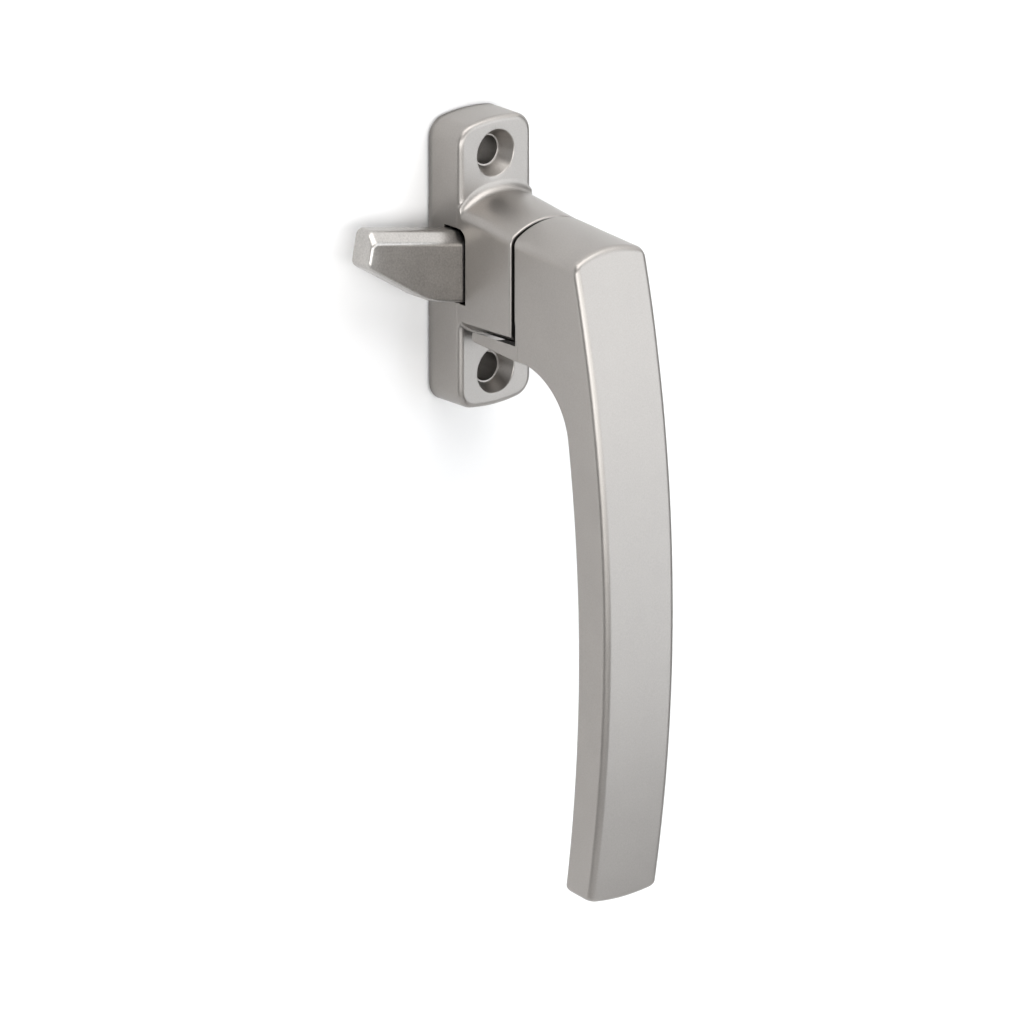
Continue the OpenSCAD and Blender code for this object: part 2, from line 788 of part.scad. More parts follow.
// Outline of the nose seen from the room, along and over the slide's centre line
module nose_outline() {
    bottom = -tongue_drop;
    tip_low = tongue_top - tip_h;
    bend_end_drop = nose_bend_r * (1 - cos(nose_angle));
    slope_x = (tip_low - bottom - bend_end_drop) / tan(nose_angle);
    bend_x = -tongue_reach + slope_x + nose_bend_r * sin(nose_angle);
    low_corner_x = tip_r / tan((90 + nose_angle) / 2);
    polygon(concat(
        [[0, bottom]],
        arc([bend_x, bottom + nose_bend_r], nose_bend_r, 270, 270 - nose_angle, 10),
        arc([-tongue_reach + tip_r, tip_low + low_corner_x * cos(nose_angle) + 0.3 * tip_r],
            tip_r, 270 - nose_angle, 180, 5),
        arc([-tongue_reach + tip_r, tongue_top - tip_r], tip_r, 180, 90, 5),
        [[0, tongue_top]]));
}

tail_end_x = pocket_half_w - slack - stroke * cos(tongue_lean);

// Teeth of the rack: at rest a tooth of the pinion stands between two of them
module rack_outline() {
    teeth = 4;
    half_t = PI * gear_module / 4 - backlash / 4;
    root_v = -pitch_r - addendum - tooth_root_gap;
    tip_v = -pitch_r + rack_addendum;
    for (i = [0:teeth - 1])
        let (x = rack_pitch * (0.5 - (teeth - 2) + i))
        polygon([[x - half_t - (-pitch_r - root_v) * tan(pressure_a), root_v],
            [x + half_t + (-pitch_r - root_v) * tan(pressure_a), root_v],
            [x + half_t - rack_addendum * tan(pressure_a), tip_v],
            [x - half_t + rack_addendum * tan(pressure_a), tip_v]]);
    translate([-base_w, -tongue_drop]) square([2 * base_w, root_v + tongue_drop + 0.05]);
}

module tongue() {
    color([0.52, 0.52, 0.53]) {
        intersection() {
            along_slide()
                between_depths(0, tongue_depth) nose_outline();
            along_slide() across(4 * tongue_reach) tongue_section();
            translate([-2 * tongue_reach, -boss_depth, -base_h / 2])
                cube([2 * tongue_reach - pocket_half_w + 1, boss_depth, base_h]);
        }
        intersection() {
            along_slide() {
                between_depths(tongue_depth - tongue_t, tongue_depth)
                    translate([-base_w, -tail_drop])
                        square([2 * base_w, tail_drop + tail_top]);
                between_depths(tongue_depth - 0.5, rack_top_depth) rack_outline();
            }
            translate([slack - pocket_half_w, -boss_depth, -base_h / 2])
                cube([tail_end_x + pocket_half_w - slack, boss_depth, base_h]);
        }
    }
}

base_body();
back_plate();
back_plate_screws();
tongue_glide();
spindle_bush();
stop_pin();
detent_ball();
detent_spring();
lever();
spindle();
lever_grub_screw();
hub_washer();
wave_washer();
stop_disc();
spacer_sleeve();
pinion();
pinion_screw();
tongue();
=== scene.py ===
import json
from math import atan2, cos, pi, radians, sin, sqrt, tan

import bmesh
import bpy
from mathutils import Matrix, Vector

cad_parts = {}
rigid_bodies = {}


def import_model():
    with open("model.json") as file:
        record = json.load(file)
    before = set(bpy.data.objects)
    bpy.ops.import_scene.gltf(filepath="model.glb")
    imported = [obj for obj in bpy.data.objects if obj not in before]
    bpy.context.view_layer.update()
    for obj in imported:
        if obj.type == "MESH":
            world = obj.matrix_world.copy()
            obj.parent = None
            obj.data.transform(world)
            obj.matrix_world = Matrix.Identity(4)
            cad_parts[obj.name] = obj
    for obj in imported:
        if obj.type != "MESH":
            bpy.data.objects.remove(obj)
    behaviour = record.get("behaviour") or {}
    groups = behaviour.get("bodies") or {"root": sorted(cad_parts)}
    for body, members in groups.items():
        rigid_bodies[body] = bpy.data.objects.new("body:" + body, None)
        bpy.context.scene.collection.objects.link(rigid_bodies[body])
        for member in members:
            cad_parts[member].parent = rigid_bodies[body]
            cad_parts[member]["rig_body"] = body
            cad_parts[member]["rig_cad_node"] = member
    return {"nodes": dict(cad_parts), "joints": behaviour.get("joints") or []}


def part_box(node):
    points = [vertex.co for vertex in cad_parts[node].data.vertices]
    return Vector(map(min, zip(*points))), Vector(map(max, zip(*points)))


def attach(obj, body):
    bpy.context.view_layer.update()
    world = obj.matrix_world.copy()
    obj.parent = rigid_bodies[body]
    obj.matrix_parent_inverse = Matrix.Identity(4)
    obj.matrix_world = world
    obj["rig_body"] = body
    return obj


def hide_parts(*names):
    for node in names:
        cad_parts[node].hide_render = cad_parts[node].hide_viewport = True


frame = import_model()

bl_info = {
    "name": "Casement window handle",
    "version": (1, 0, 0),
    "blender": (4, 5, 0),
    "location": "View3D > Sidebar > Window Handle",
    "description": "Builds the visible castings, finishes and studio of a casement window handle",
    "category": "Add Mesh",
}

MM = 0.001
TINY = 1e-9

# Pieces that stay as they are in the frame, by finish
STEEL_NODES = ("back_plate_screws", "stop_pin", "detent_ball", "detent_spring", "spindle",
               "wave_washer", "stop_disc", "spacer_sleeve", "pinion_screw")
ACETAL_NODES = ("tongue_glide", "spindle_bush", "hub_washer")

# How far a cutter stands out of the metal that it cuts
PAST = MM
# Reach over which the outlines of lug and boss run together
BLEND = 0.5 * MM
# Height at which the hub's rings end and the neck's begin
HUB_FOOT = -6 * MM
# Height of the grip's back points over the front points of the same ring
BACK_LIFT = MM
# Inner end of the tongue's nose, inside its tail
NOSE_ROOT = -4.5 * MM
# Layers that number a loft's points round their ring and its rings
LAYERS = ("place", "level")

# Soft lamps: azimuth from the front to the right, elevation, distance, width, height, power,
# and how much cooler than white
LAMPS = {
    "right": (41, 3, 0.9, 0.38, 1.1, 3.4, 0.04),
    "right_high": (68, 50, 0.8, 0.5, 0.45, 1.1, 0.0),
    "front": (12, 3, 0.9, 0.35, 0.4, 1.3, 0.0),
    "left_front": (-14, 3, 0.9, 0.5, 0.4, 2.2, 0.0),
    "left": (-44, 3, 0.9, 0.5, 0.4, 3.2, 0.0),
    "top": (-8, 64, 0.8, 0.9, 0.5, 5.0, -0.01),
    "behind": (180, 10, 1.2, 1.0, 1.0, 4.0, 0.0),
}
# Strength of the world as a light, and as it is seen or mirrored
WORLD_STRENGTH = 0.03
WORLD_SEEN = 0.5
# Middle of the handle, at which the lamps point
LAMP_TARGET = (0, -0.03, -0.04)

# Wall and floor: their half size, the wall's depth, its middle's height and the floor's height
STAGE_REACH = 3.0
WALL_Y = 0.4 * MM
WALL_Z = 0.9
FLOOR_Z = -0.6
# Length under which a ray passes through them, so that they hide nothing that touches them
CONTACT = 2 * MM

# Painted crevice shade, from ambient occlusion multiplied into the colour: how far a neighbour
# counts, the openness at which the painted shade is darkest and at which it ends, and its darkest
# shade
PAINTED_SHADE_REACH = 5 * MM
PAINTED_SHADE_OPEN = (0.1, 0.5)
PAINTED_SHADE_DARKEST = 0.12

# Camera: its azimuth and elevation, its distance, its aim in mm and the square image's scale
VIEW = (-41, 17.7)
CAMERA_DISTANCE = 6.0
CAMERA_TARGET = (-9.75, -25, -44)
IMAGE_PIXELS = 1024
PIXELS_PER_MM = 5.28
SENSOR_MM = 36


def axis_depth():
    """Depth of the joint between the boss and the lever, from the frame's hinge."""
    hinge = next(j for j in frame["joints"] if j["name"] == "lever_turn")
    return -hinge["pos_m"][1]


def slide_lean():
    """Angle by which the tongue's tip is higher than its tail."""
    slide = next(j for j in frame["joints"] if j["name"] == "tongue_slide")
    return atan2(-slide["axis"][2], slide["axis"][0])


def length(name, description, value):
    """A length in millimetres as a property that Blender shows in the scene's unit."""
    return bpy.props.FloatProperty(name=name, description=description, default=value * MM,
                                   min=0.0, precision=5, subtype="DISTANCE", unit="LENGTH")


def colour(name, description, value):
    """A linear colour as a property."""
    return bpy.props.FloatVectorProperty(name=name, description=description, default=value,
                                         min=0.0, max=1.0, size=3, subtype="COLOR")


class BaseSizes(bpy.types.PropertyGroup):
    """Sizes of the cast base."""
    lug_t: length("Lug thickness", "Thickness of the two screw lugs", 9.1)
    end_r: length("End radius", "Radius of the arched ends, seen from the room", 35)
    corner_r: length("Corner radius", "Radius of the corners, seen from the room", 4)
    edge_r: length("Edge radius", "Radius round the front edge of the lugs", 1.2)
    rim_r: length("Rim radius", "Radius round the edge that lies against the sash", 0.3)
    boss_depth: length("Boss depth", "Depth of the boss's front face", 23.7)
    boss_crown: length("Boss crown", "Height of the boss's arched top at the lug", 14.3)
    joint_crown: length("Joint crown", "Height of the arched top at the lever", 12.2)
    arch_r: length("Arch radius", "Radius of the boss's arched top", 15.5)
    shoulder_r: length("Shoulder radius", "Radius between the arched top and the sides", 2.5)
    belly_r: length("Belly radius", "Radius of the boss's round underside", 13.6)
    belly_draft: length("Belly draft", "Loss of that radius towards the front face", 0.3)
    foot_r: length("Foot fillet", "Radius of the hollow fillet between boss and lug", 1.9)
    boss_edge_r: length("Boss edge radius", "Radius round the boss's front edge", 0.5)
    hole_pitch: length("Hole pitch", "Distance between the two screw holes", 43)
    hole_r: length("Hole radius", "Radius of a screw hole", 2.75)
    seat_r: length("Seat radius", "Radius at the foot of a countersink", 3.15)
    sink_r: length("Countersink radius", "Radius of a countersink at the lug's face", 4.6)
    sink_t: length("Countersink depth", "Depth of a countersink", 2.8)


class DriveSizes(bpy.types.PropertyGroup):
    """Sizes of the hollows for the moving pieces."""
    wall_t: length("Side wall", "Thickness of the boss's side walls", 1.3)
    front_wall_t: length("Front wall", "Thickness of the boss's front wall", 6.1875)
    bush_r: length("Bush radius", "Radius of the bush's bore in the front wall", 4.2)
    window_gap: length("Window gap", "Clearance round the tongue in its window", 0.35)
    window_r: length("Window corner", "Radius of the window's corner over the bevel", 2.1)
    rack_depth: length("Rack depth", "Depth of the hollow for the rack", 14.0)
    socket: length("Socket", "Side of the square socket in the hub", 5.1)
    socket_l: length("Socket depth", "Depth of the square socket in the hub", 9.0)
    recess_r: length("Recess radius", "Radius of the washers' recess in the hub", 6.8)
    recess_t: length("Recess depth", "Depth of that recess", 0.9)
    grub_r: length("Grub bore", "Radius of the bore for the grub screw", 2.55)


class LeverSizes(bpy.types.PropertyGroup):
    """Sizes of the cast lever."""
    grip_depth: length("Grip depth", "Depth of the grip's front where it bows out furthest", 50.99)
    bow_drop: length("Bow drop", "Distance from the axis down to that place", 63)
    front_bow_r: length("Front bow", "Radius of the bow of the front", 295)
    back_bow_drop: length("Back bow drop", "The same distance for the grip's back", 68)
    back_bow_r: length("Back bow", "Radius of the bow of the grip's back", 295)
    grip_t: length("Grip thickness", "Thickness of the grip where it bows out furthest", 8.5)
    end_w: length("End width", "Width of the grip at its free end", 17)
    end_bulge: length("End bulge", "Bulge of the free end between its corners", 0.7)
    neck_r: length("Neck radius", "Radius of the curve under the neck", 14.5)
    crown: length("Front crown", "Height of the front edge over the axis", 10.4)
    crown_r: length("Front arch", "Radius of the arch of that edge", 22)
    front_edge_r: length("Front edge radius", "Radius along the long front edges", 1.35)
    back_edge_r: length("Back edge radius", "Radius along the long back edges", 1.0)
    joint_edge_r: length("Joint edge radius", "Radius round the hub's edge at the joint", 0.25)
    skirt_inner_r: length("Skirt inner radius", "Inner radius of the skirt", 14.4)
    skirt_edge_t: length("Skirt edge", "Thickness of the skirt at its free edge", 1.6)
    skirt_root_t: length("Skirt root", "Thickness of the skirt at the hub", 2.4)
    skirt_edge_depth: length("Skirt depth", "Depth of the skirt's free edge", 12.4)
    skirt_inset: length("Skirt inset", "Step from the hub's side in to the skirt's side", 0.25)


class TongueSizes(bpy.types.PropertyGroup):
    """Sizes of the tongue, its heights taken from the slide's centre line."""
    reach: length("Reach", "Distance from the lever's axis to the tip", 33.22)
    thickness: length("Thickness", "Thickness of the tongue", 5.2)
    depth: length("Depth", "Depth of the tongue's front face", 10.3)
    top: length("Top", "Height of the top edge", 5.8)
    drop: length("Drop", "Distance down to the lower edge", 7.8)
    tip_h: length("Tip height", "Height of the tongue at its tip", 7.1)
    shoulder: length("Shoulder", "Height of the shoulders of the tail inside the base", 1.5)
    slope: bpy.props.FloatProperty(name="Slope", description="Angle of the sloping underside",
                                   default=radians(20.5), subtype="ANGLE")
    bend_r: length("Bend", "Radius where the underside turns into that slope", 16)
    bevel: length("Bevel", "Size of the bevel along the top front edge", 2.1)
    bevel_r: length("Bevel rounding", "Radius along both sides of the bevel", 1.3)
    edge_r: length("Edge radius", "Radius round the front face", 0.7)
    back_r: length("Back edge radius", "Radius round the back face", 0.35)
    tip_r: length("Tip corners", "Radius of the corners of the tip", 1.5)


class Finishes(bpy.types.PropertyGroup):
    """Colours of the finishes, linear."""
    paint: colour("Paint", "Satin silver-grey metallic coating", (0.318, 0.301, 0.285))
    zinc: colour("Bare zinc", "Blasted bare metal of the tongue", (0.42, 0.405, 0.388))
    steel: colour("Steel", "Zinc-plated steel", (0.56, 0.57, 0.59))
    black: colour("Black steel", "Blackened steel of the grub screw", (0.035, 0.035, 0.038))
    sinter: colour("Sintered steel", "Grey sintered steel of the pinion", (0.30, 0.29, 0.27))
    acetal: colour("Acetal", "Off-white moulded plastic", (0.74, 0.72, 0.66))
    studio: colour("Studio", "Wall and floor of the studio", (0.90, 0.90, 0.90))


# Mesh helpers


def deselect():
    """Leaves object mode with nothing selected, because operators act on all that is."""
    if bpy.context.object and bpy.context.object.mode != "OBJECT":
        bpy.ops.object.mode_set(mode="OBJECT")
    bpy.ops.object.select_all(action="DESELECT")


def take(piece):
    """Selects one piece alone and makes it the active one."""
    deselect()
    piece.select_set(True)
    bpy.context.view_layer.objects.active = piece


def apply_place(piece):
    """Puts a piece's place, turn and scale into its mesh."""
    take(piece)
    bpy.ops.object.transform_apply(location=True, rotation=True, scale=True)


def edit_all(piece):
    """Opens one piece's mesh for editing, with all of it selected."""
    take(piece)
    bpy.ops.object.mode_set(mode="EDIT")
    bpy.ops.mesh.select_all(action="SELECT")


def loft(name, rings, fill=True):
    """Adds a circle, shapes it into the first ring and extrudes it from ring to ring."""
    deselect()
    bpy.ops.mesh.primitive_circle_add(vertices=len(rings[0]),
                                      fill_type="NGON" if fill else "NOTHING")
    piece = bpy.context.object
    piece.name = name
    piece.data.name = name
    bpy.ops.object.mode_set(mode="EDIT")
    mesh = bmesh.from_edit_mesh(piece.data)
    for layer in LAYERS:
        mesh.verts.layers.int.new(layer)
    place = mesh.verts.layers.int["place"]
    for i, vertex in enumerate(mesh.verts):
        vertex[place] = i
        vertex.co = rings[0][i]
    for number, ring in enumerate(rings[1:], 1):
        if fill:
            bpy.ops.mesh.extrude_region_move()
        else:
            bpy.ops.mesh.extrude_edges_move()
        mesh = bmesh.from_edit_mesh(piece.data)
        place, level = (mesh.verts.layers.int[layer] for layer in LAYERS)
        for vertex in mesh.verts:
            if vertex.select:
                vertex.co = ring[vertex[place]]
                vertex[level] = number
    bmesh.update_edit_mesh(piece.data)
    return piece


def settle(piece):
    """Makes a piece a clean solid in its place, with its normals outwards."""
    apply_place(piece)
    edit_all(piece)
    bpy.ops.mesh.remove_doubles(threshold=0.001 * MM)
    bpy.ops.mesh.normals_make_consistent(inside=False)
    bpy.ops.object.mode_set(mode="OBJECT")
    for layer in LAYERS:
        if layer in piece.data.attributes:
            piece.data.attributes.remove(piece.data.attributes[layer])
    return piece


def combine(piece, other, operation):
    """Joins or cuts one solid with another, which is then gone."""
    take(piece)
    modifier = piece.modifiers.new("Combine", "BOOLEAN")
    modifier.operation = operation
    modifier.object = other
    modifier.solver = "EXACT"
    bpy.ops.object.modifier_apply(modifier=modifier.name)
    bpy.data.objects.remove(other)


def cut(piece, tool):
    """Cuts one solid out of a piece."""
    combine(piece, tool, "DIFFERENCE")


def turned(profile, x=0.0, z=0.0, sides=72):
    """A solid turned about the depth axis through x, z: its profile is (radius, depth)."""
    rings = [[Vector((x + r * cos(2 * pi * i / sides), -d, z + r * sin(2 * pi * i / sides)))
              for i in range(sides)] for r, d in profile]
    return settle(loft("turned", rings))


def block(low, high, lean=0.0):
    """A box between two corners, turned by the slide's lean about the lever's axis."""
    deselect()
    bpy.ops.mesh.primitive_cube_add(size=1, location=(Vector(low) + Vector(high)) / 2)
    piece = bpy.context.object
    piece.scale = Vector(high) - Vector(low)
    apply_place(piece)
    piece.data.transform(Matrix.Rotation(lean, 4, "Y"))
    return piece


def trim(piece, point, normal):
    """Cuts off what lies beyond a plane and closes the cut."""
    edit_all(piece)
    bpy.ops.mesh.bisect(plane_co=point, plane_no=normal, use_fill=True, clear_outer=True)
    bpy.ops.object.mode_set(mode="OBJECT")
    return piece


def smooth(piece, angle=30.0):
    """Shades a piece smooth, with its flat faces kept flat."""
    take(piece)
    bpy.ops.object.shade_smooth_by_angle(angle=radians(angle))
    modifier = piece.modifiers.new("Flat faces", "WEIGHTED_NORMAL")
    modifier.keep_sharp = True
    bpy.ops.object.modifier_apply(modifier=modifier.name)


def finish_piece(piece, name, body, node, material):
    """Names a piece, gives it its finish and puts it in its node's place."""
    piece.name = name
    piece.data.name = name
    piece.data.materials.clear()
    piece.data.materials.append(material)
    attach(piece, body)
    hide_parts(node)


# Outlines


def mix(a, b, t):
    """The value between a and b at the share t."""
    return a + (b - a) * t


def quarter(steps, first=0):
    """Angles of a quarter turn in equal steps."""
    return [pi / 2 * k / steps for k in range(first, steps + 1)]


def soft_min(a, b, reach):
    """The smaller of two values, rounded off where they lie within a reach."""
    near = max(reach - abs(a - b), 0.0) / reach
    return min(a, b) - near * near * reach / 4


def to_circle(c, s, x, z, r):
    """Distance along the ray (c, s) from the lever's axis to the far side of a circle."""
    along = c * x + s * z
    return along + sqrt(max(0.0, along * along - x * x - z * z + r * r))


class Outline:
    """An outline with flat sides and an arched top, as distances from the lever's axis."""

    def __init__(self, half, apex, arch_r, corner_r):
        self.half = half
        self.apex = apex
        self.arch_r = arch_r
        self.corner_r = corner_r
        self.corner_x = half - corner_r
        reach = arch_r - corner_r
        self.corner_z = apex - arch_r + sqrt(reach * reach - self.corner_x * self.corner_x)
        self.bend_x = self.corner_x * arch_r / reach

    def distance(self, angle, inset=0.0):
        """Distance from the axis to the outline moved inwards by the inset."""
        c, s = abs(cos(angle)), abs(sin(angle))
        side = (self.half - inset) / max(c, TINY)
        if side * s <= self.corner_z:
            return side
        arch = to_circle(c, s, 0, self.apex - self.arch_r, self.arch_r - inset)
        if arch * c <= self.bend_x * (self.arch_r - inset) / self.arch_r:
            return arch
        return to_circle(c, s, self.corner_x, self.corner_z, self.corner_r - inset)


def ring_angles():
    """Directions of a base ring's points, close together where its outlines bend."""
    # Start, end and number of points of each span, in degrees from the side to the top
    spans = ((0, 36, 9), (36, 58, 22), (58, 69, 7), (69, 80.5, 14), (80.5, 90, 5))
    quarter = [start + (end - start) * i / n for start, end, n in spans for i in range(n)]
    half = quarter + [90.0] + [180 - a for a in reversed(quarter)]
    return [radians(a) for a in half + [a + 180 for a in half[1:-1]]]


# Castings


class HANDLE_OT_cast_base(bpy.types.Operator):
    """Models the cast base: two screw lugs that flow into the boss, with its hollows"""
    bl_idname = "handle.cast_base"
    bl_label = "Cast Base"

    def execute(self, context):
        sizes = context.scene.handle_base
        drive = context.scene.handle_drive
        low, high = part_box("base_body")
        lug = Outline(high.x, high.z, sizes.end_r, sizes.corner_r)
        piece = settle(loft("cast_base", self.rings(sizes, lug)))
        self.cut_screw_holes(piece, sizes)
        self.cut_drive(piece, sizes, drive, high.x)
        self.cut_window(piece, sizes, drive, high.x)
        self.cut_back(piece, sizes)
        smooth(piece)
        finish_piece(piece, "cast_base", "base", "base_body", satin_paint())
        return {"FINISHED"}

    def rings(self, sizes, lug):
        """Rings from the sash to the boss's face: each is the larger of lug and boss."""
        angles = ring_angles()
        run = sizes.boss_depth - sizes.lug_t
        belly_foot, side_loss = 0.35, 0.65

        def boss(angle, t, grow):
            """Distance from the axis to the boss's side, grown by its foot's fillet."""
            side = lug.half / max(abs(cos(angle)), TINY) + min(grow, 0.0)
            if sin(angle) < 0:
                return soft_min(sizes.belly_r - sizes.belly_draft * t + grow, side, 0.2 * BLEND)
            outline = Outline(lug.half + grow, mix(sizes.boss_crown, sizes.joint_crown, t) + grow,
                              sizes.arch_r + grow, sizes.shoulder_r + grow)
            return min(outline.distance(angle), side)

        def foot(angle):
            """The fillet is full under the arched top and runs out towards the sides."""
            if sin(angle) < 0:
                return belly_foot * sizes.foot_r
            across = abs(cos(angle)) * boss(angle, 0, 0) / lug.half
            return (1 - side_loss * across ** 4) * sizes.foot_r

        def ring(depth, inset=0.0, turn=None, back=0.0):
            """A ring of the lug moved in by an inset, of the foot's turn or of the boss."""
            points = []
            for angle in angles:
                d = depth
                if turn is not None:
                    d += foot(angle) * (1 - cos(turn))
                    r = boss(angle, (d - depth) / run, foot(angle) * (1 - sin(turn)))
                elif depth > sizes.lug_t:
                    r = boss(angle, (depth - sizes.lug_t) / run, -back)
                else:
                    foot_r = boss(angle, 0, foot(angle))
                    r = max(lug.distance(angle, inset),
                            soft_min(foot_r, lug.distance(angle), BLEND))
                points.append(Vector((r * cos(angle), -d, r * sin(angle))))
            return points

        start = sizes.lug_t + 1.1 * sizes.foot_r
        end = sizes.boss_depth - sizes.boss_edge_r
        rings = [ring(sizes.rim_r * (1 - sin(turn)), sizes.rim_r * (1 - cos(turn)))
                 for turn in reversed(quarter(3))]
        rings += [ring(sizes.lug_t - sizes.edge_r * (1 - sin(turn)),
                       sizes.edge_r * (1 - cos(turn))) for turn in quarter(8)]
        rings += [ring(sizes.lug_t, turn=turn) for turn in quarter(10)]
        rings += [ring(mix(start, end, i / 5)) for i in range(6)]
        rings += [ring(end + sizes.boss_edge_r * sin(turn),
                       back=sizes.boss_edge_r * (1 - cos(turn))) for turn in quarter(5, 1)]
        return rings

    def cut_screw_holes(self, piece, sizes):
        """Two countersunk holes, their edges slightly rounded."""
        seat = sizes.lug_t - sizes.sink_t
        lip = 0.22 * MM
        slope = (sizes.sink_r - sizes.seat_r) / sizes.sink_t
        profile = [(sizes.hole_r + lip, -lip), (sizes.hole_r, lip), (sizes.hole_r, seat - lip),
                   (sizes.hole_r + 0.3 * lip, seat - 0.3 * lip), (sizes.hole_r + lip, seat),
                   (sizes.seat_r - 0.2 * lip, seat), (sizes.seat_r + slope * lip, seat + lip),
                   (sizes.sink_r - slope * lip, sizes.lug_t - lip),
                   (sizes.sink_r + 0.1 * lip, sizes.lug_t - 0.35 * lip),
                   (sizes.sink_r + 0.8 * lip, sizes.lug_t + 0.02 * lip),
                   (sizes.sink_r + 2 * lip, sizes.lug_t + 2 * lip)]
        for side in (-1, 1):
            cut(piece, turned(profile, z=side * sizes.hole_pitch / 2, sides=96))

    def cut_drive(self, piece, sizes, drive, half):
        """Hollows for the tongue's tail, the rack, the drum of gears and the bush."""
        lean = slide_lean()
        inner = half - drive.wall_t
        through = 3 * half
        tongue = bpy.context.scene.handle_tongue
        gap = drive.window_gap
        tail = block((-through, -tongue.depth - gap, -tongue.drop - tongue.shoulder - gap),
                     (through, PAST, tongue.top + tongue.shoulder + gap), lean)
        rack = block((-through, -drive.rack_depth, -tongue.drop - gap),
                     (through, -tongue.depth, 0), lean)
        for hollow in (tail, rack):
            for side in (-1, 1):
                trim(hollow, (side * inner, 0, 0), (side, 0, 0))
            cut(piece, hollow)
        wall = sizes.boss_depth - drive.front_wall_t
        drum_gap = 0.1 * MM
        drum_r = inner - drum_gap
        cut(piece, turned([(drum_r, tongue.depth - PAST), (drum_r, wall)], sides=96))
        cut(piece, turned([(drive.bush_r, wall - PAST), (drive.bush_r, sizes.boss_depth + PAST)]))

    def cut_window(self, piece, sizes, drive, half):
        """The tongue's window in the left wall, with a rounded corner and a softened rim."""
        lean = slide_lean()
        gap = drive.window_gap
        tongue = bpy.context.scene.handle_tongue
        back, front = gap + tongue.thickness - tongue.depth, -tongue.depth - gap
        low, top = -tongue.drop - gap, tongue.top + gap
        r = drive.window_r
        corner = [(front + r * (1 - cos(a)), top - r * (1 - sin(a))) for a in quarter(8)]
        section = [(back, low), (front, low)] + corner + [(back, top)]
        middle_y = (back + front) / 2
        middle_z = (low + top) / 2
        # Places from outside the wall to its inside, and what the section grows by there, in mm
        flare = ((-half - 2 * MM, 1.6), (-half - 0.05 * MM, 0.22), (-half + 0.15 * MM, 0.07),
                 (-half + 0.4 * MM, 0), (-half + drive.wall_t + 0.5 * MM, 0))
        rings = []
        for x, grow in flare:
            ring = []
            for y, z in section:
                step = Vector((y - middle_y, z - middle_z)).normalized() * grow * MM
                ring.append(Vector((x, y + step.x, (z + step.y) / cos(lean) - x * tan(lean))))
            rings.append(ring)
        cut(piece, settle(loft("window", rings)))

    def cut_back(self, piece, sizes):
        """The recess for the back plate and the two holes for its screws."""
        low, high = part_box("back_plate")
        fit, corner_r = 0.05 * MM, 1.5 * MM
        pilot_r, web_t = 1.25 * MM, 2 * MM
        recess = block((low.x - fit, low.y, low.z - fit), (high.x + fit, PAST, high.z + fit))
        bpy.ops.object.mode_set(mode="EDIT")
        bpy.ops.mesh.select_all(action="DESELECT")
        mesh = bmesh.from_edit_mesh(recess.data)
        for edge in mesh.edges:
            run = edge.verts[0].co - edge.verts[1].co
            edge.select_set(abs(run.y) > 0.9 * run.length)
        bpy.ops.mesh.bevel(offset=corner_r, segments=8, affect="EDGES")
        bpy.ops.object.mode_set(mode="OBJECT")
        cut(piece, recess)
        screw_low, screw_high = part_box("back_plate_screws")
        head_r = screw_high.x
        pitch = screw_high.z - screw_low.z - 2 * head_r
        for side in (-1, 1):
            cut(piece, turned([(pilot_r, 0), (pilot_r, sizes.lug_t - web_t)],
                              z=side * pitch / 2, sides=32))


